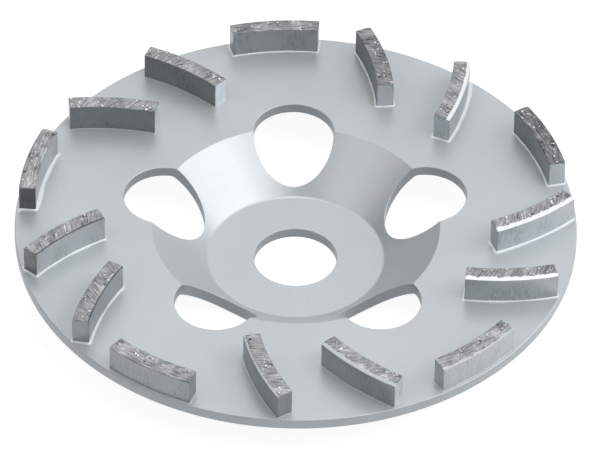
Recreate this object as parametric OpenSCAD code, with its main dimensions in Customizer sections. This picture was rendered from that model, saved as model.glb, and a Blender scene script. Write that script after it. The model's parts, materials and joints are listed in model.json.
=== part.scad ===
// Diamond cup wheel for grinding stone and concrete.
// A pressed steel cup carries arc-shaped diamond segments, which are brazed to its rim face
// in groups of three: one segment along the rim, then two slanted ones.
// The origin is on the spindle axis at the back of the hub, and +Z points towards the segments.

/* [Steel cup] */
// Outside diameter of the wheel
wheel_d = 150; // [146:1:180]
// Thickness of the pressed steel
sheet = 3; // [2.5:0.5:4]
// Depth of the dish, from the rim face down to the hub face
dish_depth = 12.2; // [8:0.1:16]
// Diameter of the flat hub inside the dish
hub_d = 47.2; // [42:0.1:50]
// Diameter of the dish where it meets the rim face
dish_d = 77; // [72:0.5:80]
// Inside radius of both bends of the sheet
bend_r = 1.5; // [0.5:0.1:2]
// Radius left on the edge of the dish, where the rim face is machined flat after pressing
dish_edge_r = 0.4; // [0.2:0.1:1]
// Edge break round the rim
rim_break = 0.3; // [0.1:0.1:0.6]

/* [Bore and vents] */
// Diameter of the spindle bore
bore_d = 22.23; // [16:0.01:25.4]
// Edge break at both ends of the bore
bore_break = 0.2; // [0.1:0.1:0.5]
// Diameter of the vent holes, one to a group of segments
vent_d = 21.8; // [16:0.1:24]
// Distance from the dish edge in to the centres of the vent holes
vent_inset = 1.6; // [0:0.1:3]
// Turn of the vent holes from the rim segment of each group, in degrees
vent_turn = -3.7; // [-10:0.1:10]

/* [Segment] */
// Length of a segment along its curve
seg_len = 24; // [18:0.5:26]
// Width of a segment
seg_w = 4.5; // [3.5:0.1:5]
// Height of a segment above the rim face
seg_h = 7.7; // [5:0.1:12]
// Radius of the segment's curve, at the middle of its width
seg_curve_r = 66; // [50:1:90]
// Width of the sloping shoulder along the outward top edge
shoulder_w = 1.3; // [0.3:0.1:2]
// Drop of that shoulder at the outward side
shoulder_drop = 0.3; // [0.1:0.1:0.8]

/* [Segment pattern] */
// Number of groups of three segments
groups = 5; // [3:1:5]
// Direction of the first rim segment, in degrees from +X
first_angle = 95.2; // [0:0.1:360]
// Gap between a rim segment and the edge of the rim face
rim_gap = 0.5; // [0.1:0.1:2]
// Distance from the rim in to the middle of the first slanted segment
slant_a_inset = 11.7; // [11.5:0.1:14]
// Turn of the first slanted segment from lying along the rim, in degrees
slant_a_turn = -55; // [-65:1:-45]
// Extra step from even spacing to the first slanted segment, in degrees
slant_a_step = 1.3; // [-2:0.1:2]
// Distance from the rim in to the middle of the second slanted segment
slant_b_inset = 12.2; // [12:0.1:14]
// Turn of the second slanted segment from lying along the rim, in degrees
slant_b_turn = -61; // [-70:1:-50]
// Extra step from even spacing to the second slanted segment, in degrees
slant_b_step = 0.2; // [-2:0.1:2]

/* [Braze] */
// Width of the braze bead on the rim face
bead_w = 1.2; // [0.6:0.1:1.6]
// Height of the braze bead on the segment
bead_h = 0.4; // [0.3:0.1:1.2]
// Fullness of the bead's face, from hollow to flat
bead_fullness = 0.6; // [0.5:0.05:0.95]
// Gap left between the bead and the segment, so that the curved sides never cross
bead_fit = 0.01; // [0.01:0.01:0.05]

/* [Hidden] */
$fn = 128;
overcut = 1;
bend_steps = 6;
bead_side_steps = 14;
bead_corner_steps = 3;

rim_r = wheel_d / 2;
flat_r = rim_r - rim_break;
face_z = sheet + dish_depth;
rim_back_z = face_z - sheet;
bore_r = bore_d / 2;

// The dish wall's slope, the two bends that lead into it, and the dish's edge
dish_run = (dish_d - hub_d) / 2;
dish_slope = atan(dish_depth / dish_run);
bend_outer_r = bend_r + sheet;
hub_bend = [hub_d / 2 - bend_r * tan(dish_slope / 2), sheet + bend_r];
rim_bend = [dish_d / 2 + bend_outer_r * tan(dish_slope / 2), face_z - bend_outer_r];
dish_edge = [dish_d / 2 + dish_edge_r * tan(dish_slope / 2), face_z - dish_edge_r];

group_pitch = 360 / groups;
seg_per_group = 3;
seg_count = groups * seg_per_group;
seg_pitch = 360 / seg_count;
seg_angle = seg_len / seg_curve_r * 180 / PI;
seg_in_r = seg_curve_r - seg_w / 2;
seg_out_r = seg_curve_r + seg_w / 2;

// Rim segment, first slanted and second slanted segment of a group
place_r = [
    flat_r - rim_gap - seg_w / 2,
    rim_r - slant_a_inset,
    rim_r - slant_b_inset
];
place_turn = [0, slant_a_turn, slant_b_turn];
place_step = [0, slant_a_step, slant_b_step];
function place_of(i) = (i - 1) % seg_per_group;

function two_digits(i) = str(i < 10 ? "0" : "", i);
function segment_name(i) = str("segment_", two_digits(i));
function braze_name(i) = str("braze_", two_digits(i));

// A vector of the given length and angle
function polar(r, angle) = r * [cos(angle), sin(angle)];

// Points along an arc about a centre
function arc_points(centre, r, from, to) =
    [for (k = [0:bend_steps]) centre + polar(r, from + (to - from) * k / bend_steps)];

// Half section of the cup, from the bore out to the rim along the front and back along the rear
module cup_section() {
    down_angle = -90;
    up_angle = 90;
    polygon(concat(
        [[bore_r, sheet - bore_break], [bore_r + bore_break, sheet]],
        arc_points(hub_bend, bend_r, down_angle, down_angle + dish_slope),
        arc_points(dish_edge, dish_edge_r, up_angle + dish_slope, up_angle),
        [[flat_r, face_z], [rim_r, face_z - rim_break]],
        [[rim_r, rim_back_z + rim_break], [flat_r, rim_back_z]],
        arc_points(rim_bend, bend_r, up_angle, up_angle + dish_slope),
        arc_points(hub_bend, bend_outer_r, down_angle + dish_slope, down_angle),
        [[bore_r + bore_break, 0], [bore_r, bore_break]]
    ));
}

module steel_cup() {
    vent_r = dish_d / 2 - vent_inset;
    color("#BCC3C8") difference() {
        rotate_extrude() cup_section();
        for (g = [0:groups - 1])
            rotate(first_angle + vent_turn - g * group_pitch)
                translate([vent_r, 0, -overcut])
                    cylinder(d = vent_d, h = face_z + 2 * overcut);
    }
}

// Puts its children at the place of segment i, counted clockwise from the first rim segment
module at_segment(i) {
    group = floor((i - 1) / seg_per_group);
    place = place_of(i);
    angle = first_angle - group * group_pitch - place * seg_pitch - place_step[place];
    rotate(angle) translate([place_r[place], 0, face_z]) rotate(place_turn[place]) children();
}

// Sweeps a section along the segment's curve, with the curve's middle at the origin
module along_curve() {
    translate([-seg_curve_r, 0, 0]) rotate(-seg_angle / 2)
        rotate_extrude(angle = seg_angle) children();
}

module segment(i) {
    color("#8E8C88") at_segment(i) along_curve() polygon([
        [seg_in_r, 0],
        [seg_out_r, 0],
        [seg_out_r, seg_h - shoulder_drop],
        [seg_out_r - shoulder_w, seg_h],
        [seg_in_r, seg_h]
    ]);
}

// Stations round the foot of a segment: each has a spot on the outline and the way out from it
function station(angle, r, out_angle) = [polar(r, angle) - [seg_curve_r, 0], polar(1, out_angle)];
function corner_stations(angle, r, out_angle) = [
    for (k = [0:bead_corner_steps]) station(angle, r, out_angle + 90 * k / bead_corner_steps)
];
function side_stations(r, from, turn) = [
    for (k = [1:bead_side_steps - 1])
        let (angle = from * (1 - 2 * k / bead_side_steps)) station(angle, r, angle + turn)
];
half_angle = seg_angle / 2;
foot_stations = concat(
    side_stations(seg_out_r, -half_angle, 0),
    corner_stations(half_angle, seg_out_r, half_angle),
    corner_stations(half_angle, seg_in_r, half_angle + 90),
    side_stations(seg_in_r, half_angle, 180),
    corner_stations(-half_angle, seg_in_r, 180 - half_angle),
    corner_stations(-half_angle, seg_out_r, 270 - half_angle)
);

// Room for a bead at a station, before it would run over the edge of the rim face
function turned(v, angle) = [v.x * cos(angle) - v.y * sin(angle), v.x * sin(angle) + v.y * cos(angle)];
function room_to_rim(stn, place) =
    let (
        spot = [place_r[place], 0] + turned(stn[0], place_turn[place]),
        along = spot * turned(stn[1], place_turn[place])
    )
    sqrt(along * along + flat_r * flat_r - spot * spot) - along;

// Section of the bead at a station: foot, toe, middle of the face and top
function bead_points(stn, w) =
    let (foot = stn[0] + bead_fit * stn[1], out = (w - bead_fit) * stn[1], mid = bead_fullness / 2)
    [
        [foot.x, foot.y, 0],
        [foot.x + out.x, foot.y + out.y, 0],
        [foot.x + out.x * mid, foot.y + out.y * mid, bead_h * mid],
        [foot.x, foot.y, bead_h]
    ];

// Braze bead round the foot of segment i, as one closed band
module braze(i) {
    place = place_of(i);
    row_count = 4;
    station_count = len(foot_stations);
    rows = [for (stn = foot_stations) bead_points(stn, min(bead_w, room_to_rim(stn, place)))];
    color("#D5DADD") at_segment(i) polyhedron(
        points = [for (row = rows, point = row) point],
        faces = [
            for (k = [0:station_count - 1], j = [0:row_count - 1])
                let (
                    next_k = (k + 1) % station_count * row_count,
                    next_j = (j + 1) % row_count,
                    a = k * row_count + j,
                    b = k * row_count + next_j,
                    c = next_k + next_j,
                    d = next_k + j
                )
                each [[a, b, c], [a, c, d]]
        ]
    );
}

steel_cup();
for (i = [1:seg_count]) {
    segment(i);
    braze(i);
}
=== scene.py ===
"""Diamond cup wheel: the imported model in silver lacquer, with ground diamond tops and braze fillets."""

import json
import math
import random
from collections import namedtuple

import bmesh
import bpy
import numpy as np
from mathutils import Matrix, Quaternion, Vector, noise
from mathutils.geometry import delaunay_2d_cdt


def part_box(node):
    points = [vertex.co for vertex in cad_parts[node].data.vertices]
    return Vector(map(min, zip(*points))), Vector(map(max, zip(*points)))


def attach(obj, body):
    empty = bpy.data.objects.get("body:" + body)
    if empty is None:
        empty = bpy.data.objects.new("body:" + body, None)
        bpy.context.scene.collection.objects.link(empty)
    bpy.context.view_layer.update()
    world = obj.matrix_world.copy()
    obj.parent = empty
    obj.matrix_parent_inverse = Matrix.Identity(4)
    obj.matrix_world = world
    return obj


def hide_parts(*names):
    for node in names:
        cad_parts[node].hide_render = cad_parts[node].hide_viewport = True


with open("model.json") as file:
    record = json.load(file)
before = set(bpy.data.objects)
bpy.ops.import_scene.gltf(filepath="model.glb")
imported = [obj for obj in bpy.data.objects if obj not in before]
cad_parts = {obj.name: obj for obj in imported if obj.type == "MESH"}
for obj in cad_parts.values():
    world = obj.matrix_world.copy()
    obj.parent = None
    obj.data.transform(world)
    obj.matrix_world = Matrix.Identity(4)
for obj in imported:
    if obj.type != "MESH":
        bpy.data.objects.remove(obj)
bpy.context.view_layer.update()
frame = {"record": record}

MM = 0.001

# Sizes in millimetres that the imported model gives
mounts = {mount["name"]: mount for mount in frame["record"]["mounts"]}
RIM_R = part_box("steel_cup")[1].x / MM
FACE_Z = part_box("steel_cup")[1].z / MM
SEG_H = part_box("segment_01")[1].z / MM - FACE_Z
BORE_R = mounts["spindle_bore"]["dims"]["r_mm"]
SHEET = mounts["nut_face"]["pos_m"][2] / MM

# The pressed cup, in millimetres and degrees
DISH_D = 77
HUB_D = 47.2
BEND_R = 1.5
DISH_EDGE_R = 0.4
RIM_BREAK = 0.3
BORE_BREAK = 0.2
VENT_D = 21.8
VENT_INSET = 1.6
VENT_BREAK = 0.25
VENT_TURN = -3.7

# A segment and its braze fillet, in millimetres
SEG_LEN = 24
SEG_W = 4.5
SEG_CURVE_R = 66
SHOULDER_W = 1.3
SHOULDER_DROP = 0.3
SEG_CORNER_R = 0.2
SEG_TOP_BREAK = 0.12
BEAD_W = 1.2
BEAD_H = 0.4

# The pattern of the segments, in millimetres and degrees
GROUPS = 5
SEG_PER_GROUP = 3
FIRST_ANGLE = 95.2
RIM_GAP = 0.5
SLANT_INSETS = (11.7, 12.2)
PLACE_TURNS = (0, -55, -61)
PLACE_STEPS = (0, 1.3, 0.2)

# Strip of lacquer that grinding has left along a segment's outward top edge: its width and its
# raggedness in millimetres
LACQUER_STRIPS = {3: (0.9, 0.2), 5: (1.15, 0.7), 6: (1.15, 0.8), 7: (0.6, 0.9), 8: (1.0, 0.3), 9: (0.45, 0.3)}

# Segments whose strip of lacquer is painted brighter: a painted highlight
HIGHLIT_STRIPS = (3, 5, 6)

# Segments with a line of painted shade along their inward top edge
SHADED_INWARD_EDGES = (11, 12)

# Painted shade and light on each segment's long sides and on its ends, as a share of the usual lacquer.
# Each face is painted darker or brighter to stand for how the light falls on it
PAINTED_FACE_SHADES = {
    1: (0.9, 1.0), 2: (0.45, 1.45), 3: (1.0, 1.35), 4: (0.65, 1.4), 5: (1.25, 1.2),
    6: (1.2, 1.0), 7: (1.25, 1.3), 8: (0.85, 1.65), 9: (0.9, 0.6), 10: (1.05, 0.75),
    11: (0.75, 0.9), 12: (1.05, 0.5), 13: (1.05, 0.4), 14: (0.65, 1.5), 15: (0.55, 1.65),
}

# How much darker than the others a segment's top is
DULL_TOPS = {1: 0.05, 2: 0.1, 4: 0.18, 6: 0.05}

# Share of the full bead that each segment's braze has
BEAD_SHARES = {
    1: 0.55, 2: 0.5, 3: 0.75, 4: 0.5, 5: 0.6, 6: 0.6, 7: 0.4, 8: 0.35, 9: 0.3, 10: 0.45,
    11: 0.55, 12: 0.65, 13: 1.0, 14: 0.3, 15: 0.3,
}

# From this share up, a bead takes a brighter lacquer: a painted highlight along the braze
HIGHLIGHT_BEAD_SHARE = 0.5

FLAT_R = RIM_R - RIM_BREAK
PLACE_RADII = (FLAT_R - RIM_GAP - SEG_W / 2, *(RIM_R - inset for inset in SLANT_INSETS))
DISH_SLOPE = math.atan((FACE_Z - SHEET) / ((DISH_D - HUB_D) / 2))
BEND_OUTER_R = BEND_R + SHEET
HUB_BEND = (HUB_D / 2 - BEND_R * math.tan(DISH_SLOPE / 2), SHEET + BEND_R)
RIM_BEND = (DISH_D / 2 + BEND_OUTER_R * math.tan(DISH_SLOPE / 2), FACE_Z - BEND_OUTER_R)
DISH_EDGE = (DISH_D / 2 + DISH_EDGE_R * math.tan(DISH_SLOPE / 2), FACE_Z - DISH_EDGE_R)


# Camera

# The photo is a telephoto view from in front and above, turned a little about its own axis.
# The lens, its sensor and the aim are in millimetres, the distances in metres, and the rest in degrees
CAMERA_LENS = 398.2
CAMERA_SENSOR = 36
CAMERA_DISTANCE = 1.7706
CAMERA_REACH = 20
CAMERA_ELEVATION = 42.81
CAMERA_AZIMUTH = 0.05
CAMERA_ROLL = 0.87
CAMERA_AIM = (1.10, -0.50)


def make_camera():
    """The camera of the photo."""
    data = bpy.data.cameras.new("photo_camera")
    data.lens = CAMERA_LENS
    data.sensor_width = CAMERA_SENSOR
    data.clip_end = CAMERA_REACH
    camera = bpy.data.objects.new("photo_camera", data)
    bpy.context.scene.collection.objects.link(camera)
    elevation = math.radians(CAMERA_ELEVATION)
    azimuth = math.radians(CAMERA_AZIMUTH)
    forward = Vector((
        math.sin(azimuth) * math.cos(elevation),
        math.cos(azimuth) * math.cos(elevation),
        -math.sin(elevation),
    ))
    aim = Vector((*CAMERA_AIM, FACE_Z)) * MM
    roll = Quaternion((0, 0, 1), math.radians(CAMERA_ROLL))
    camera.rotation_mode = "QUATERNION"
    camera.rotation_quaternion = forward.to_track_quat("-Z", "Y") @ roll
    camera.location = aim - forward * CAMERA_DISTANCE
    bpy.context.scene.camera = camera


# Materials

# Sizes of the lacquer's patterns in millimetres. Real flakes are about ten times finer, and they are drawn
# as coarse as they need to show
SPRAY_CLOUD = 22
FLAKE = 0.22
ORANGE_PEEL = 1.3
POWDER_STREAK = 0.5
THIN_PATCH = 9

# Width of a streak of pressed powder, as a share of its height
STREAK_SLIMNESS = 0.22

# Patterns of the ground matrix, in waves per millimetre: streaks along and across the cut, grains, and
# patches that have worn brighter
STREAK_WAVES = (0.32, 2.4)
GRAIN_WAVES = 2.6
PATCH_WAVES = 0.22

# How deep the bumps of the patterns are, in millimetres
PEEL_DEPTH = 0.02
FLAKE_DEPTH = 0.01
CUT_DEPTH = 0.06


def srgb(code):
    """Linear colour of an sRGB hex code."""
    channels = [int(code[i:i + 2], 16) / 255 for i in (1, 3, 5)]
    linear = [c / 12.92 if c <= 0.04045 else ((c + 0.055) / 1.055) ** 2.4 for c in channels]
    return (*linear, 1.0)


def add(tree, kind, inputs=None, **settings):
    """Adds a node. Each input is a value, or another node's output to link."""
    node = tree.nodes.new(kind)
    for name, value in settings.items():
        setattr(node, name, value)
    for key, value in (inputs or {}).items():
        if isinstance(value, bpy.types.NodeSocket):
            tree.links.new(value, node.inputs[key])
        else:
            node.inputs[key].default_value = value
    return node


def new_material(name):
    """A material and its node tree, which is left empty."""
    material = bpy.data.materials.new(name)
    material.use_nodes = True
    material.node_tree.nodes.clear()
    return material, material.node_tree


def per_mm(wavelength):
    """Texture scale, on coordinates in metres, for a pattern of that many millimetres."""
    return 1 / (wavelength * MM)


def thin_and_shaded_lacquer(tree, place, shade, peel):
    """Shade and height of lacquer that lies thin on a segment. The streaks and pores of the pressed powder
    darken it in patches, and an attribute per point paints shade and light on each face and darkens worn
    corners."""
    upright = add(tree, "ShaderNodeMapping", {
        "Vector": place, "Scale": (1.0, 1.0, STREAK_SLIMNESS)}).outputs["Vector"]
    streak = add(tree, "ShaderNodeTexNoise", {
        "Vector": upright, "Scale": per_mm(POWDER_STREAK), "Detail": 3.0, "Roughness": 0.6}).outputs["Fac"]
    patch = add(tree, "ShaderNodeTexNoise", {
        "Vector": place, "Scale": per_mm(THIN_PATCH), "Detail": 1.0}).outputs["Fac"]
    thin = add(tree, "ShaderNodeMapRange", {
        "Value": patch, "From Min": 0.42, "From Max": 0.62, "To Min": 0.03, "To Max": 0.3}).outputs["Result"]
    depth = add(tree, "ShaderNodeMapRange", {
        "Value": streak, "From Min": 0.35, "From Max": 0.6, "To Min": 1.0, "To Max": 0.0}).outputs["Result"]
    loss = add(tree, "ShaderNodeMath", {0: thin, 1: depth}, operation="MULTIPLY").outputs["Value"]
    kept = add(tree, "ShaderNodeMath", {0: shade, 1: loss}, operation="SUBTRACT").outputs["Value"]
    # Painted shade and light per face, with wear at the corners
    coat = add(tree, "ShaderNodeAttribute", attribute_name="coat").outputs["Fac"]
    shaded_and_worn = add(tree, "ShaderNodeMath", {0: kept, 1: coat}, operation="MULTIPLY").outputs["Value"]
    height = add(tree, "ShaderNodeMath", {0: peel, 1: streak}, operation="ADD").outputs["Value"]
    return shaded_and_worn, height


def silver_lacquer(name, dark, light, thin=False):
    """Sprayed lacquer full of aluminium flake: satin, cool grey, with a faint orange peel."""
    material, tree = new_material(name)
    place = add(tree, "ShaderNodeTexCoord").outputs["Object"]
    cloud = add(tree, "ShaderNodeTexNoise", {
        "Vector": place, "Scale": per_mm(SPRAY_CLOUD), "Detail": 3.0, "Roughness": 0.55}).outputs["Fac"]
    flake = add(tree, "ShaderNodeTexNoise", {
        "Vector": place, "Scale": per_mm(FLAKE), "Detail": 2.0}).outputs["Fac"]
    peel = add(tree, "ShaderNodeTexNoise", {
        "Vector": place, "Scale": per_mm(ORANGE_PEEL), "Detail": 2.0, "Roughness": 0.45}).outputs["Fac"]
    tone = add(tree, "ShaderNodeMixRGB", {
        "Fac": cloud, "Color1": srgb(dark), "Color2": srgb(light)}).outputs["Color"]
    shade = add(tree, "ShaderNodeMapRange", {
        "Value": flake, "From Min": 0.35, "From Max": 0.65, "To Min": 0.94, "To Max": 1.05}).outputs["Result"]
    height = peel
    if thin:
        shade, height = thin_and_shaded_lacquer(tree, place, shade, peel)
    colour = add(tree, "ShaderNodeVectorMath", {0: tone, 1: shade}, operation="MULTIPLY").outputs["Vector"]
    satin = add(tree, "ShaderNodeMapRange", {
        "Value": flake, "From Min": 0.3, "From Max": 0.7, "To Min": 0.33, "To Max": 0.4}).outputs["Result"]
    bump = add(tree, "ShaderNodeBump", {
        "Height": height, "Strength": 0.25, "Distance": PEEL_DEPTH * MM}).outputs["Normal"]
    fine = add(tree, "ShaderNodeBump", {
        "Height": flake, "Strength": 0.3, "Distance": FLAKE_DEPTH * MM, "Normal": bump}).outputs["Normal"]
    skin = add(tree, "ShaderNodeBsdfPrincipled", {
        "Base Color": colour, "Metallic": 0.38, "Roughness": satin, "Normal": fine})
    add(tree, "ShaderNodeOutputMaterial", {"Surface": skin.outputs["BSDF"]})
    return material


def sintered_matrix():
    """Sintered cobalt and bronze powder, ground open: grey, streaked along the cut, dark in its pores."""
    material, tree = new_material("sintered_diamond_matrix")
    cut = add(tree, "ShaderNodeUVMap", uv_map="grinding").outputs["UV"]
    along_cut = add(tree, "ShaderNodeMapping", {
        "Vector": cut, "Scale": (*STREAK_WAVES, 1.0)}).outputs["Vector"]
    streak = add(tree, "ShaderNodeTexNoise", {
        "Vector": along_cut, "Scale": 1.0, "Detail": 4.0, "Roughness": 0.65}).outputs["Fac"]
    grain = add(tree, "ShaderNodeTexNoise", {
        "Vector": cut, "Scale": GRAIN_WAVES, "Detail": 3.0, "Roughness": 0.65}).outputs["Fac"]
    rough = add(tree, "ShaderNodeMath", {
        0: grain, 1: 0.55, 2: streak}, operation="MULTIPLY_ADD").outputs["Value"]
    relief = add(tree, "ShaderNodeAttribute", attribute_name="relief").outputs["Fac"]
    wear = add(tree, "ShaderNodeTexNoise", {
        "Vector": cut, "Scale": PATCH_WAVES, "Detail": 1.0}).outputs["Fac"]
    worn = add(tree, "ShaderNodeMath", {
        0: wear, 1: 0.5, 2: relief}, operation="MULTIPLY_ADD").outputs["Value"]
    level = add(tree, "ShaderNodeMath", {0: rough, 1: worn}, operation="ADD").outputs["Value"]
    place = add(tree, "ShaderNodeMapRange", {
        "Value": level, "From Min": 0.65, "From Max": 1.27}).outputs["Result"]
    tones = add(tree, "ShaderNodeValToRGB", {"Fac": place})
    ramp = tones.color_ramp
    ramp.elements[0].color = srgb("#47494C")
    ramp.elements[-1].color = srgb("#DCDEE1")
    for position, code in ((0.3, "#7D7E82"), (0.65, "#A5A6AA")):
        ramp.elements.new(position).color = srgb(code)
    bump = add(tree, "ShaderNodeBump", {
        "Height": rough, "Strength": 0.6, "Distance": CUT_DEPTH * MM}).outputs["Normal"]
    skin = add(tree, "ShaderNodeBsdfPrincipled", {
        "Base Color": tones.outputs["Color"], "Metallic": 0.55, "Roughness": 0.48, "Normal": bump})
    add(tree, "ShaderNodeOutputMaterial", {"Surface": skin.outputs["BSDF"]})
    return material


def diamond_grit():
    """Synthetic diamond crystals: pale, hard and glossy, so that single facets flash white. Their near-white
    colour is partly a painted glint.
    """
    material, tree = new_material("synthetic_diamond_grit")
    skin = add(tree, "ShaderNodeBsdfPrincipled", {
        "Base Color": srgb("#F6F8FA"), "Roughness": 0.12, "IOR": 2.42})
    add(tree, "ShaderNodeOutputMaterial", {"Surface": skin.outputs["BSDF"]})
    return material


# Meshes

# Two points in plan that lie closer than this are one, in millimetres
SAME_POINT = 1e-7


def edge_distances(radius, steps=4):
    """Distances in from an edge, spaced evenly round its rounding."""
    return [radius * (1 - math.cos(math.pi / 2 * k / steps)) for k in range(steps + 1)]


def edge_drop(distance, radius):
    """How far a rounded edge falls below the face at that distance in from it."""
    inward = np.clip(radius - distance, 0, radius)
    return radius - np.sqrt(radius ** 2 - inward ** 2)


def triangulate(points, loops, is_hole):
    """Triangles on points in a plane. Each loop of point numbers stays as edges, and holes stay open."""
    edges = [(int(a), int(b)) for loop in loops for a, b in zip(loop, np.roll(loop, -1))]
    made = delaunay_2d_cdt([Vector(p) for p in points], edges, [], 0, SAME_POINT)
    places, triangles, origins = np.array([list(p) for p in made[0]]), np.array(made[2]), made[3]
    if len(places) != len(points):
        raise ValueError(f"{len(points)} points became {len(places)}")
    number = np.array([sources[0] for sources in origins])
    triangles = triangles[~is_hole(places[triangles].mean(axis=1))]
    return number[triangles]


def wall(top_loop, bottom_loop):
    """Triangles between two loops of point numbers, which run anticlockwise seen from above."""
    a, b = np.array(top_loop), np.array(bottom_loop)
    next_a, next_b = np.roll(a, -1), np.roll(b, -1)
    return np.concatenate([np.stack([a, b, next_b], 1), np.stack([a, next_b, next_a], 1)])


def make_piece(name, points, triangles, node, materials, face_materials=None, normals=None):
    """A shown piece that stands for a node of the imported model. Points are in millimetres."""
    mesh = bpy.data.meshes.new(name)
    mesh.from_pydata((np.asarray(points) * MM).tolist(), [], np.asarray(triangles).tolist())
    mesh.shade_smooth()
    for material in materials:
        mesh.materials.append(material)
    if face_materials is not None:
        mesh.polygons.foreach_set("material_index", np.asarray(face_materials, np.int32))
    if normals is not None:
        mesh.normals_split_custom_set_from_vertices(np.asarray(normals).tolist())
    piece = bpy.data.objects.new(name, mesh)
    bpy.context.scene.collection.objects.link(piece)
    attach(piece, "root")
    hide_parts(node)
    return piece


# The pressed cup

CUP_STEPS = 400
VENT_STEPS = 176
WALL_ROWS = 4
BEND_STEPS = 6
DISH_RINGS = 5
FACE_RINGS = 8

# Plain rings of points keep RING_MARGIN from the bore, the rim and the dish edge. The last ring of an edge's
# own points lies EDGE_GUARD in from it, and the others stay clear of it. All are in millimetres
RING_MARGIN = 1
EDGE_GUARD = 0.6
CLEAR_OF_EDGE = 1.5 * EDGE_GUARD

# Rings closer than this are one, in millimetres
SAME_RING = 0.01

# A rounded edge's normal is taken just short of upright
NEARLY_UPRIGHT = 0.9999

# An edge of the cup in plan. Metal is 1 where the steel lies outside the circle, and -1 where it lies inside
Edge = namedtuple("Edge", "centre radius rounding steps metal")


def pressed_face(r, hub_bend_r, rim_bend, rim_bend_r):
    """Height and slope of one face of the pressed sheet, at distances r from the axis."""
    sine, cosine, tangent = (f(DISH_SLOPE) for f in (math.sin, math.cos, math.tan))
    hub_r, hub_z = HUB_BEND
    rim_r, rim_z = rim_bend
    hub_end = hub_r + hub_bend_r * sine
    rim_start = rim_r - rim_bend_r * sine
    in_hub = np.clip(r - hub_r, 0, hub_bend_r * sine)
    in_rim = np.clip(rim_r - r, 0, rim_bend_r * sine)
    hub_fall = np.sqrt(hub_bend_r ** 2 - in_hub ** 2)
    rim_rise = np.sqrt(rim_bend_r ** 2 - in_rim ** 2)
    on_dish = hub_z - hub_bend_r * cosine + (r - hub_end) * tangent
    zones = [r <= hub_end, r < rim_start]
    height = np.select(zones, [hub_z - hub_fall, on_dish], rim_z + rim_rise)
    slope = np.select(zones, [in_hub / hub_fall, np.full_like(r, tangent)], in_rim / rim_rise)
    return height, slope


def circle(radius, steps, centre=(0, 0)):
    turn = np.arange(steps) * 2 * math.pi / steps
    return np.stack([centre[0] + radius * np.cos(turn), centre[1] + radius * np.sin(turn)], 1)


def cup_edges():
    """The bore, the rim and the vents."""
    vent_r = DISH_D / 2 - VENT_INSET
    edges = [
        Edge((0, 0), BORE_R, BORE_BREAK, CUP_STEPS, 1),
        Edge((0, 0), RIM_R, RIM_BREAK, CUP_STEPS, -1),
    ]
    for group in range(GROUPS):
        angle = math.radians(FIRST_ANGLE + VENT_TURN - group * 360 / GROUPS)
        centre = (vent_r * math.cos(angle), vent_r * math.sin(angle))
        edges.append(Edge(centre, VENT_D / 2, VENT_BREAK, VENT_STEPS, 1))
    return edges


def cup_rings():
    """Radii of the rings of points between the bore and the rim, close together where the sheet bends."""
    sine = math.sin(DISH_SLOPE)
    hub_r, edge_r, rim_r = HUB_BEND[0], DISH_EDGE[0], RIM_BEND[0]
    bends = ((hub_r, BEND_R), (hub_r + BEND_R * sine, SHEET), (edge_r, -DISH_EDGE_R), (rim_r, -BEND_R))
    radii = [start + reach * sine * k / BEND_STEPS for start, reach in bends for k in range(BEND_STEPS + 1)]
    hub_start, face_end = BORE_R + RING_MARGIN, RIM_R - RING_MARGIN
    radii += [hub_start, (hub_start + hub_r) / 2]
    radii += list(np.linspace(hub_r + BEND_OUTER_R * sine, edge_r - RING_MARGIN, DISH_RINGS + 1)[1:])
    radii += [rim_r + (face_end - rim_r) * k / FACE_RINGS for k in range(1, FACE_RINGS + 1)]
    rings = sorted(radii)
    return [r for r, inner in zip(rings, [0, *rings]) if r - inner > SAME_RING]


def cup_plan(edges):
    """Points and triangles of the cup in plan, and the loop of point numbers along each edge."""
    holes = [edge for edge in edges if edge.metal > 0]
    points, loops = [], []
    for edge in edges:
        for distance in [*edge_distances(edge.rounding), EDGE_GUARD]:
            if distance == 0:
                loops.append(np.arange(edge.steps) + sum(map(len, points)))
            points.append(circle(edge.radius + edge.metal * distance, edge.steps, edge.centre))
    grid = np.concatenate([circle(r, CUP_STEPS) for r in cup_rings()])
    clear = np.ones(len(grid), bool)
    for hole in holes:
        clear &= np.hypot(*(grid - hole.centre).T) > hole.radius + CLEAR_OF_EDGE
    plan = np.concatenate([*points, grid[clear]])

    def is_hole(p):
        in_holes = [np.hypot(*(p - hole.centre).T) < hole.radius for hole in holes]
        return np.any(in_holes, axis=0) | (np.hypot(*p.T) > RIM_R)

    return plan, triangulate(plan, loops, is_hole), loops


def cup_face(plan, edges, side, bends):
    """Points and normals of the cup's front, where side is 1, or of its back, where it is -1."""
    r = np.hypot(*plan.T)
    height, slope = pressed_face(r, *bends)
    gradient = plan / r[:, None] * slope[:, None] * side
    for edge in edges:
        away = plan - edge.centre
        span = np.hypot(*away.T)
        distance = (span - edge.radius) * edge.metal
        near = distance < edge.rounding
        height = height - side * np.where(near, edge_drop(distance, edge.rounding), 0)
        inward = np.clip(edge.rounding - distance, 0, edge.rounding * NEARLY_UPRIGHT)
        steep = np.where(near, inward / np.sqrt(edge.rounding ** 2 - inward ** 2), 0)
        gradient = gradient + away / span[:, None] * (steep * edge.metal)[:, None]
    facing = np.column_stack([-gradient, np.ones(len(plan))]) * (1, 1, side)
    return np.column_stack([plan, height]), facing / np.linalg.norm(facing, axis=1)[:, None]


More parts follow.
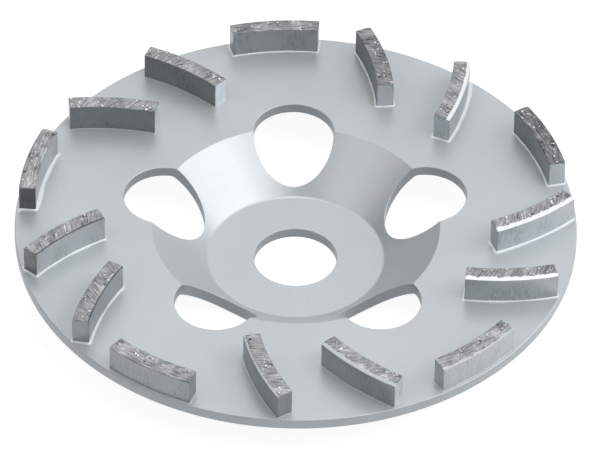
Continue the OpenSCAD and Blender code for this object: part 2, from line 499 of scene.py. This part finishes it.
def cup():
    """The cup in plan is one triangulated disc with its holes, lifted to the front and the back face."""
    edges = cup_edges()
    plan, triangles, loops = cup_plan(edges)
    count = len(plan)
    front, front_normals = cup_face(plan, edges, 1, (BEND_R, DISH_EDGE, DISH_EDGE_R))
    back, back_normals = cup_face(plan, edges, -1, (BEND_OUTER_R, RIM_BEND, BEND_R))
    points, normals = [front, back], [front_normals, back_normals]
    faces = [triangles, triangles[:, ::-1] + count]
    in_hole = [np.zeros(2 * len(triangles), bool)]
    total = 2 * count
    for edge, loop in zip(edges, loops):
        rows = [loop]
        for k in range(1, WALL_ROWS):
            points.append(front[loop] + (back[loop] - front[loop]) * k / WALL_ROWS)
            normals.append(front_normals[loop] * (1, 1, 0))
            rows.append(np.arange(len(loop)) + total)
            total += len(loop)
        rows.append(loop + count)
        for upper, lower in zip(rows, rows[1:]):
            band = wall(upper, lower)
            faces.append(band if edge.metal < 0 else band[:, ::-1])
            in_hole.append(np.full(len(band), edge.metal > 0))
    # The bore and vent walls take a darker lacquer: painted shade in the holes
    return make_piece(
        "pressed_cup", np.concatenate(points), np.concatenate(faces), "steel_cup",
        [LACQUER, HOLE_SHADE_LACQUER], np.concatenate(in_hole), np.concatenate(normals))


# Segments

# Spacing of the points on a segment, in millimetres
OUTLINE_STEP = 0.22
GRID_STEP = 0.14
GRID_JITTER = 0.035
CORNER_STEPS = 4
TOP_BREAK_STEPS = 3
SIDE_ROWS = 6
GRID_SEED = 7

# Edges of a segment that meet at more than this many degrees are sharp
SHARP_SEGMENT = 48


def direction(angle):
    return np.array((math.cos(angle), math.sin(angle)))


def corner_round(centre, start_way):
    """Points on a rounded corner between its two flat sides, and the way out at each."""
    ways = [start_way + math.pi / 2 * k / CORNER_STEPS for k in range(1, CORNER_STEPS)]
    return [centre + SEG_CORNER_R * direction(way) for way in ways], ways


def bar_outline():
    """Points round a segment's foot, with the curve's middle at the origin, and the way out at each."""
    reach = SEG_LEN / SEG_CURVE_R / 2 - SEG_CORNER_R / SEG_CURVE_R
    side_steps, end_steps = round(SEG_LEN / OUTLINE_STEP), round(SEG_W / OUTLINE_STEP)
    spots, ways = [], []
    for side in (1, -1):
        sweep = np.linspace(-reach, reach, side_steps) * side
        near_r, far_r = SEG_CURVE_R + side * SEG_W / 2, SEG_CURVE_R - side * SEG_W / 2
        spots += [near_r * direction(angle) for angle in sweep]
        ways += [angle if side > 0 else angle + math.pi for angle in sweep]
        end, side_way = direction(sweep[-1]), ways[-1]
        end_way = side_way + math.pi / 2
        near_centre = (near_r - side * SEG_CORNER_R) * end
        far_centre = (far_r + side * SEG_CORNER_R) * end
        corner_spots, corner_ways = corner_round(near_centre, side_way)
        spots += corner_spots
        ways += corner_ways
        flat_start = near_centre + SEG_CORNER_R * direction(end_way)
        for k in range(end_steps + 1):
            spots.append(flat_start - side * end * (SEG_W - 2 * SEG_CORNER_R) * k / end_steps)
            ways.append(end_way)
        corner_spots, corner_ways = corner_round(far_centre, end_way)
        spots += corner_spots
        ways += corner_ways
    return np.array(spots) - (SEG_CURVE_R, 0), np.array(ways)


def inside_distance(p):
    """Distance in from the nearest side or end of a bar, and how far across and along it a point is."""
    r = np.hypot(p[:, 0] + SEG_CURVE_R, p[:, 1])
    along = np.arctan2(p[:, 1], p[:, 0] + SEG_CURVE_R) * SEG_CURVE_R
    across = r - SEG_CURVE_R
    return np.minimum(SEG_W / 2 - np.abs(across), SEG_LEN / 2 - np.abs(along)), across, along


def bar_plan():
    """Points and triangles of a bar's top in plan, outline first, and its outline with the ways out."""
    spots, ways = bar_outline()
    inward = -np.stack([np.cos(ways), np.sin(ways)], 1)
    rings = [spots + inward * d for d in edge_distances(SEG_TOP_BREAK, TOP_BREAK_STEPS)]
    spread = random.Random(GRID_SEED)
    grid = []
    for along in np.arange(-SEG_LEN / 2, SEG_LEN / 2, GRID_STEP):
        for across in np.arange(-SEG_W / 2, SEG_W / 2, GRID_STEP):
            angle = (along + spread.uniform(-GRID_JITTER, GRID_JITTER)) / SEG_CURVE_R
            r = SEG_CURVE_R + across + spread.uniform(-GRID_JITTER, GRID_JITTER)
            grid.append((r * math.cos(angle) - SEG_CURVE_R, r * math.sin(angle)))
    grid = np.array(grid)
    grid = grid[inside_distance(grid)[0] > SEG_TOP_BREAK + GRID_STEP / 2]
    plan = np.concatenate([*rings, grid])
    triangles = triangulate(plan, [np.arange(len(spots))], lambda p: inside_distance(p)[0] < 0)
    return plan, triangles, spots, ways


def placement(number):
    """The angle and radius at which a segment stands, counted clockwise from the first, and its own turn."""
    group, place = divmod(number - 1, SEG_PER_GROUP)
    pitch = 360 / GROUPS
    angle = FIRST_ANGLE - group * pitch - place * pitch / SEG_PER_GROUP - PLACE_STEPS[place]
    return math.radians(angle), PLACE_RADII[place], math.radians(PLACE_TURNS[place])


def turned(p, angle):
    c, s = math.cos(angle), math.sin(angle)
    return np.stack([p[:, 0] * c - p[:, 1] * s, p[:, 0] * s + p[:, 1] * c], 1)


def placed(p, number):
    """Plan points of a bar, moved from its own frame to the wheel's."""
    angle, radius, turn = placement(number)
    return turned(turned(p, turn) + (radius, 0), angle)


def noise_at(u, v, scale_u, scale_v, seed):
    return np.array([noise.noise(Vector((a * scale_u, b * scale_v, seed))) for a, b in zip(u, v)])


def layered_noise(u, v, layers, number):
    """Sum of layers of noise, each with its height, its waves per millimetre on u and on v, and its seed."""
    return sum(height * noise_at(u, v, waves_u, waves_v, number + seed)
               for height, waves_u, waves_v, seed in layers)


# Diamonds and pits of one ground top. Sizes are in millimetres
CRYSTALS = 16
CRYSTAL_SIZES = (0.35, 0.85)
CRYSTAL_INSET = 0.3
CRYSTAL_SINK = (0.05, 0.28)
TAIL_LENGTH = 2.2
TAIL_WIDTH = 0.2
TAIL_HEIGHT = 0.07
HOLLOW_DEPTH = 0.05
HOLLOW_LENGTH = 0.2
PITS = 2
PIT_DEPTH = 0.2
SEGMENT_SEED = 100

# The hollow's middle lies this far ahead of its crystal, as a share of the crystal's size
HOLLOW_LEAD = 0.6

# How steep a pit's side is. At 2 it would be bell-shaped
PIT_STEEPNESS = 4

# Relief of a ground top along and across the cut: its swell, its grooves and its grain
GROUND_LAYERS = ((0.05, 0.35, 0.5, 0), (0.11, 0.35, 2.4, 20), (0.04, 2.2, 2.6, 40))

# The relief dies away towards the edges, over this width in millimetres and by this share
CALM_EDGE_W = 0.3
CALM_EDGE_SHARE = 0.75

# Ragged inner edge of a lacquer strip along and across a bar, and the width over which the strip ends
RAGGED_LAYERS = ((0.7, 0.5, 0.9, 60), (0.5, 2.5, 3, 80))
STRIP_END_W = 0.15

# Chips out of the top's edges along and across a bar: the level of the noise from which a chip starts,
# how deep it goes, and how wide it is
CHIP_LAYERS = ((1, 0.9, 0.9, 90),)
CHIP_START = 0.15
CHIP_DEPTH = 0.35
CHIP_W = 0.25

# Tone of a ground top: how much of the relief shows in it and down to what, and its painted shade along all
# its edges and along the inward edge of some segments, each with its darkness and its width
RELIEF_TONE = 3
DARKEST_TONE = -1
EDGE_SHADE = (0.1, 0.2)
INWARD_EDGE_SHADE = (0.7, 0.22)

# Wear of the lacquer at a bar's upright corners: how much darker it makes them, how wide it is, how much of
# the corner it takes on average, and its unevenness
CORNER_WEAR = 0.5
CORNER_WEAR_W = 0.18
CORNER_WORN_SHARE = 0.75
CORNER_LAYERS = ((0.8, 0.8, 0.8, 70),)

# A segment's materials by their places in its slots, and the share of bare points that makes a face bare
SIDE_SLOT, TOP_SLOT, GRIT_SLOT, STRIP_SLOT = range(4)
BARE_SHARE = 0.3

# The patterns of two neighbouring segments lie this far apart on the streaked texture, in millimetres
PATTERN_STEP = 31


def crystal_shape():
    """Corners and triangles of a cuboctahedron one unit across, the habit of synthetic diamond."""
    shape = bmesh.new()
    for zero in range(3):
        for a in (-1, 1):
            for b in (-1, 1):
                corner = [a, b]
                corner.insert(zero, 0)
                shape.verts.new(corner)
    bmesh.ops.convex_hull(shape, input=shape.verts)
    bmesh.ops.triangulate(shape, faces=shape.faces)
    shape.verts.index_update()
    corners = np.array([v.co for v in shape.verts]) / (2 * math.sqrt(2))
    triangles = np.array([[v.index for v in f.verts] for f in shape.faces])
    shape.free()
    return corners, triangles


def random_turn(chance):
    turn = Quaternion([chance.gauss(0, 1) for _ in range(4)]).normalized()
    return np.array(turn.to_matrix())


def fading(distance, width):
    """1 at no distance, falling to nothing over about twice the width."""
    return np.exp(-(distance / width) ** 2)


def cut_coordinates(number, plan):
    """How far along and across the cut each point of a top is. The cut runs round the wheel's axis."""
    spots = placed(plan, number)
    centre = placed(np.zeros((1, 2)), number)[0]
    centre_r = np.hypot(*centre)
    turn = np.arctan2(spots[:, 1], spots[:, 0]) - math.atan2(centre[1], centre[0])
    sweep = (turn + math.pi) % (2 * math.pi) - math.pi
    return sweep * centre_r, np.hypot(*spots.T) - centre_r


def ground_relief(number, edge, cut, depth, chance):
    """Height of the ground top at its points, and its crystals as point numbers with their sizes."""
    relief = layered_noise(cut, depth, GROUND_LAYERS, number)
    room = np.flatnonzero(edge > CRYSTAL_INSET)
    crystals = []
    for k in chance.choices(room, k=CRYSTALS + PITS):
        size = chance.uniform(*CRYSTAL_SIZES)
        du, dv = cut - cut[k], depth - depth[k]
        if len(crystals) < CRYSTALS:
            behind = np.clip(du / TAIL_LENGTH, 0, 1)
            ahead = (du + size * HOLLOW_LEAD) / HOLLOW_LENGTH
            relief += TAIL_HEIGHT * (1 - behind) * (du > 0) * fading(dv, TAIL_WIDTH)
            relief -= HOLLOW_DEPTH * np.exp(-(ahead ** 2 + (dv / (size / 2)) ** 2))
            crystals.append((k, size))
        else:
            relief -= PIT_DEPTH * np.exp(-(np.hypot(du, dv) / (size / 2)) ** PIT_STEEPNESS)
    return relief, crystals


def bared(number, across, along):
    """How bare each point of a top is ground: 0 on a strip of lacquer that is left, and 1 elsewhere."""
    if number not in LACQUER_STRIPS:
        return np.ones(len(across))
    strip, raggedness = LACQUER_STRIPS[number]
    ragged = layered_noise(along, across, RAGGED_LAYERS, number) * raggedness
    into_strip = across + ragged - (SEG_W / 2 - strip)
    return np.clip(-into_strip / STRIP_END_W, 0, 1)


def top_height(number, relief, edge, across, along, bare):
    """Height of a segment's top above the rim face."""
    shoulder = np.clip((across - SEG_W / 2 + SHOULDER_W) / SHOULDER_W, 0, 1) * SHOULDER_DROP
    chips = np.clip(layered_noise(along, across, CHIP_LAYERS, number) - CHIP_START, 0, 1) * CHIP_DEPTH
    chipped = chips * fading(edge, CHIP_W) * bare
    return SEG_H - shoulder - edge_drop(edge, SEG_TOP_BREAK) + relief * bare - chipped


def top_tone(number, relief, edge, across):
    """How light or dark the ground matrix is at each point of a top."""
    dark, width = EDGE_SHADE
    inward_shade, inward_shade_width = INWARD_EDGE_SHADE
    # The edges of the top are darkened all round as painted shade
    tone = np.maximum(relief * RELIEF_TONE, DARKEST_TONE) - dark * fading(edge, width)
    # A line of painted shade along the inward top edge
    if number in SHADED_INWARD_EDGES:
        tone -= inward_shade * fading(across + SEG_W / 2, inward_shade_width)
    return tone - DULL_TOPS.get(number, 0)


def painted_shade_and_corner_wear(number, across, along, heights):
    """Painted shade and light per face of a bar's sides, for rows of points at the given heights, from the
    top down.
    The upright corners are worn darker."""
    rows = len(heights) // len(across)
    side_shade, end_shade = PAINTED_FACE_SHADES[number]
    side_gap = SEG_W / 2 - np.abs(across)
    end_gap = SEG_LEN / 2 - np.abs(along)
    # The painted shade or light of each face
    coat = np.tile(np.where(end_gap < side_gap, end_shade, side_shade), rows)
    at_corner = np.tile(fading(np.maximum(end_gap, side_gap), CORNER_WEAR_W), rows)
    broken = layered_noise(np.tile(along + across, rows), heights, CORNER_LAYERS, number)
    worn = np.clip(CORNER_WORN_SHARE + broken, 0, 1)
    return coat * (1 - CORNER_WEAR * at_corner * worn)


def bar_body(shape, top):
    """Points and faces of a bar: its top, then its sides in rows, and its foot."""
    plan, triangles, spots, _ = shape
    rim, total = len(spots), len(plan)
    points, loops = [np.column_stack([plan, top])], [np.arange(rim)]
    for k in range(1, SIDE_ROWS + 1):
        points.append(np.column_stack([spots, top[:rim] * (1 - k / SIDE_ROWS)]))
        loops.append(np.arange(rim) + total)
        total += rim
    points.append(np.zeros((1, 3)))
    sides = [wall(upper, lower) for upper, lower in zip(loops, loops[1:])]
    foot = np.stack([loops[-1], np.full(rim, total), np.roll(loops[-1], -1)], 1)
    return np.concatenate(points), np.concatenate([triangles, *sides, foot])


def set_diamonds(places, crystal, start, chance):
    """Points and faces of the crystals at their places, each turned and sunk at random. A place has a spot,
    a height and the crystal's size, and the points are numbered from start."""
    corners, triangles = crystal
    points, faces = [], []
    for spot, height, size in places:
        turned_crystal = corners @ random_turn(chance).T * size
        sunk = height - size * chance.uniform(*CRYSTAL_SINK)
        faces.append(triangles + start + len(points) * len(corners))
        points.append(turned_crystal + (*spot, sunk))
    return points, faces


def lay_grinding(mesh, number, cut, depth):
    """Texture coordinates of a top, in millimetres along and across the cut, apart from the other tops'."""
    places = np.zeros((len(mesh.vertices), 2), np.float32)
    places[:len(cut)] = np.column_stack([cut, depth])
    corner_points = np.zeros(len(mesh.loops), np.int32)
    mesh.loops.foreach_get("vertex_index", corner_points)
    pattern = places[corner_points] + number * PATTERN_STEP
    mesh.uv_layers.new(name="grinding").data.foreach_set("uv", pattern.ravel())


def segment(number, shape, crystal):
    """A sintered bar with lacquered sides, and a ground top with its diamonds and its strip of lacquer."""
    plan, triangles, spots, _ = shape
    chance = random.Random(SEGMENT_SEED + number)
    edge, across, along = inside_distance(plan)
    cut, depth = cut_coordinates(number, plan)
    relief, crystals = ground_relief(number, edge, cut, depth, chance)
    relief = np.minimum(relief, 0.0) * (1 - CALM_EDGE_SHARE * fading(edge, CALM_EDGE_W))
    bare = bared(number, across, along)
    top = top_height(number, relief, edge, across, along, bare)

    bar_points, bar_faces = bar_body(shape, top)
    places = [(plan[k], top[k], size) for k, size in crystals if bare[k] == 1]
    diamond_points, diamond_faces = set_diamonds(places, crystal, len(bar_points), chance)
    local = np.concatenate([bar_points, *diamond_points])
    faces = np.concatenate([bar_faces, *diamond_faces])
    slots = np.full(len(faces), SIDE_SLOT)
    slots[:len(triangles)] = np.where(bare[triangles].mean(axis=1) > BARE_SHARE, TOP_SLOT, STRIP_SLOT)
    slots[len(bar_faces):] = GRIT_SLOT
    # A painted highlight: these strips take a brighter copy of the lacquer
    strip_lacquer = STRIP_HIGHLIGHT_LACQUER if number in HIGHLIT_STRIPS else LACQUER
    piece = make_piece(
        f"ground_segment_{number:02d}", np.column_stack([placed(local[:, :2], number), local[:, 2] + FACE_Z]),
        faces, f"segment_{number:02d}", [THIN_SHADED_LACQUER, MATRIX, GRIT, strip_lacquer], slots)
    mesh = piece.data
    mesh.set_sharp_from_angle(angle=math.radians(SHARP_SEGMENT))
    piece.modifiers.new("flat_sides", "WEIGHTED_NORMAL").keep_sharp = True

    tones, face_shades_and_wear = np.zeros(len(local), np.float32), np.ones(len(local), np.float32)
    tones[:len(plan)] = top_tone(number, relief, edge, across)
    rim, sides = len(spots), slice(len(plan), len(bar_points) - 1)
    heights = np.concatenate([top[:rim], local[sides, 2]])
    # Painted shade and light on the sides, with worn corners
    rows = painted_shade_and_corner_wear(number, across[:rim], along[:rim], heights)
    face_shades_and_wear[:rim], face_shades_and_wear[sides] = rows[:rim], rows[rim:]
    for name, values in (("relief", tones), ("coat", face_shades_and_wear)):
        mesh.attributes.new(name, "FLOAT", "POINT").data.foreach_set("value", values)
    lay_grinding(mesh, number, cut, depth)
    return piece


# Braze

BEAD_ROWS = 6

# How hollow a bead's face is. At 1 it would be flat
BEAD_HOLLOW = 1.6

# How full a bead is on average, and its unevenness round the wheel
BEAD_FULLNESS = 0.85
BEAD_LAYERS = ((0.5, 0.16, 0.16, 5), (0.12, 0.9, 0.9, 9))

# Edges of a bead that meet at more than this many degrees are sharp
SHARP_BEAD = 50


def bead(number, spots, ways):
    """A hollow-faced, slightly uneven fillet of braze round a segment's foot, trimmed to the rim face."""
    out = np.stack([np.cos(ways), np.sin(ways)], 1)
    here = placed(spots, number)
    there = placed(spots + out, number) - here
    along = (here * there).sum(1)
    room = np.sqrt(along ** 2 + FLAT_R ** 2 - (here ** 2).sum(1)) - along
    uneven = BEAD_FULLNESS + layered_noise(*here.T, BEAD_LAYERS, number)
    share = np.minimum(uneven * BEAD_SHARES[number], 1)
    width = np.minimum(BEAD_W * share, room)
    height = BEAD_H * share
    points, loops = [], []
    for k in range(BEAD_ROWS + 1):
        climb = k / BEAD_ROWS
        reach = width * (1 - climb) ** BEAD_HOLLOW
        rise = height * climb ** BEAD_HOLLOW
        points.append(np.column_stack([here + there * reach[:, None], FACE_Z + rise]))
        loops.append(np.arange(len(spots)) + k * len(spots))
    points.append(np.column_stack([here, np.full(len(spots), FACE_Z)]))
    loops.append(np.arange(len(spots)) + len(loops) * len(spots))
    faces = [wall(upper, lower) for lower, upper in zip(loops, loops[1:] + loops[:1])]
    # A painted highlight: fuller beads take a brighter copy of the lacquer
    highlighted_bead = BEAD_SHARES[number] >= HIGHLIGHT_BEAD_SHARE
    piece = make_piece(
        f"braze_fillet_{number:02d}", np.concatenate(points), np.concatenate(faces),
        f"braze_{number:02d}", [BEAD_HIGHLIGHT_LACQUER if highlighted_bead else LACQUER])
    piece.data.set_sharp_from_angle(angle=math.radians(SHARP_BEAD))
    return piece


# Studio

# Where the bright side of the world lies
BRIGHT_SIDE = (0.5, 0.8, 0.33)

# The lamps are a trace warmer than white
LAMP_COLOUR = "#FFFBF8"

# Half the table's width in metres, and its gap below the wheel in millimetres
TABLE_HALF = 6
TABLE_GAP = 0.02


def studio_world():
    """White behind the object and on the right, and dim in front and on the left."""
    world = bpy.data.worlds.new("studio")
    world.use_nodes = True
    tree = world.node_tree
    tree.nodes.clear()
    way = add(tree, "ShaderNodeTexCoord").outputs["Generated"]
    facing = add(tree, "ShaderNodeVectorMath", {
        0: way, 1: BRIGHT_SIDE}, operation="DOT_PRODUCT").outputs["Value"]
    open_side = add(tree, "ShaderNodeMapRange", {
        "Value": facing, "From Min": 0.0, "From Max": 0.55},
        interpolation_type="SMOOTHSTEP").outputs["Result"]
    level = add(tree, "ShaderNodeMapRange", {
        "Value": open_side, "To Min": 0.03, "To Max": 0.28}).outputs["Result"]
    ray = add(tree, "ShaderNodeLightPath").outputs
    glossy = add(tree, "ShaderNodeMath", {
        0: ray["Is Glossy Ray"], 1: open_side}, operation="MULTIPLY").outputs["Value"]
    seen = add(tree, "ShaderNodeMath", {
        0: ray["Is Camera Ray"], 1: ray["Is Transmission Ray"]}, operation="MAXIMUM").outputs["Value"]
    shown = add(tree, "ShaderNodeMath", {0: seen, 1: glossy}, operation="MAXIMUM").outputs["Value"]
    light = add(tree, "ShaderNodeBackground", {"Color": srgb("#FFFFFF"), "Strength": level})
    white = add(tree, "ShaderNodeBackground", {"Color": srgb("#FFFFFF"), "Strength": 1.0})
    both = add(tree, "ShaderNodeMixShader", {
        "Fac": shown, 1: light.outputs["Background"], 2: white.outputs["Background"]})
    add(tree, "ShaderNodeOutputWorld", {"Surface": both.outputs["Shader"]})
    bpy.context.scene.world = world


def softbox(name, azimuth, elevation, distance, size, radiance):
    """A rectangular area lamp that faces the wheel. Angles are in degrees and sizes in metres, and radiance
    is how bright it looks, where 1 is white."""
    data = bpy.data.lights.new(name, "AREA")
    data.shape = "RECTANGLE"
    data.size, data.size_y = size
    data.energy = radiance * math.pi * size[0] * size[1]
    data.color = srgb(LAMP_COLOUR)[:3]
    lamp = bpy.data.objects.new(name, data)
    bpy.context.scene.collection.objects.link(lamp)
    turn, lift = math.radians(azimuth), math.radians(elevation)
    way = Vector((math.cos(turn) * math.cos(lift), math.sin(turn) * math.cos(lift), math.sin(lift)))
    lamp.location = way * distance
    lamp.rotation_mode = "QUATERNION"
    lamp.rotation_quaternion = (-way).to_track_quat("-Z", "Y")


def pale_floor():
    """A white table. What the eye sees of it is mostly plain white, with the wheel's shadow left faint.
    It lies a hair below the wheel, so that no two faces share a plane."""
    material, tree = new_material("matt_white_table")
    ray = add(tree, "ShaderNodeLightPath").outputs
    seen = add(tree, "ShaderNodeMath", {
        0: ray["Is Camera Ray"], 1: ray["Is Glossy Ray"]}, operation="MAXIMUM").outputs["Value"]
    shown = add(tree, "ShaderNodeMath", {
        0: seen, 1: ray["Is Transmission Ray"]}, operation="MAXIMUM").outputs["Value"]
    paper = add(tree, "ShaderNodeBsdfDiffuse", {"Color": srgb("#808080")})
    glow = add(tree, "ShaderNodeEmission", {"Color": srgb("#FFFFFF"), "Strength": 0.9})
    shade = add(tree, "ShaderNodeBsdfDiffuse", {"Color": srgb("#8A8A8A")})
    bright = add(tree, "ShaderNodeAddShader", {0: glow.outputs["Emission"], 1: shade.outputs["BSDF"]})
    both = add(tree, "ShaderNodeMixShader", {
        "Fac": shown, 1: paper.outputs["BSDF"], 2: bright.outputs["Shader"]})
    add(tree, "ShaderNodeOutputMaterial", {"Surface": both.outputs["Shader"]})
    sides = ((-1, -1), (1, -1), (1, 1), (-1, 1))
    corners = [(x * TABLE_HALF, y * TABLE_HALF, -TABLE_GAP * MM) for x, y in sides]
    mesh = bpy.data.meshes.new("table")
    mesh.from_pydata(corners, [], [(0, 1, 2, 3)])
    mesh.materials.append(material)
    floor = bpy.data.objects.new("table", mesh)
    bpy.context.scene.collection.objects.link(floor)


make_camera()
studio_world()
softbox("right_softbox", azimuth=-6, elevation=35, distance=1.25, size=(1.2, 0.8), radiance=2.3)
softbox("front_right_softbox", azimuth=-44, elevation=55, distance=1.2, size=(0.8, 0.5), radiance=2.65)
softbox("back_softbox", azimuth=106, elevation=57, distance=0.7, size=(0.5, 0.26), radiance=0.6)
softbox("left_softbox", azimuth=203, elevation=51, distance=1.2, size=(1.1, 0.55), radiance=1.75)
softbox("top_softbox", azimuth=0, elevation=88, distance=1.2, size=(0.6, 0.6), radiance=2.25)
pale_floor()

# The spray is even on the cup and thin on the segments, whose faces also get painted shade and light. The
# holes take a darker copy of it as painted shade, and the fuller beads and three strips a brighter one as a
# painted highlight
LACQUER = silver_lacquer("sprayed_silver_lacquer", "#B9C1C6", "#C4CBD0")
THIN_SHADED_LACQUER = silver_lacquer("thin_silver_lacquer", "#B1B9BE", "#BCC3C8", thin=True)
HOLE_SHADE_LACQUER = silver_lacquer("silver_lacquer_in_holes", "#959EA3", "#A0A8AD")
BEAD_HIGHLIGHT_LACQUER = silver_lacquer("pooled_silver_lacquer", "#DAE1E5", "#E6ECF0")
STRIP_HIGHLIGHT_LACQUER = silver_lacquer("rubbed_silver_lacquer", "#E8EEF2", "#F2F6F9")
MATRIX = sintered_matrix()
GRIT = diamond_grit()

cup()
bar = bar_plan()
diamond = crystal_shape()
for number in range(1, GROUPS * SEG_PER_GROUP + 1):
    segment(number, bar, diamond)
    bead(number, bar[2], bar[3])

scene = bpy.context.scene
scene.view_settings.view_transform = "Standard"
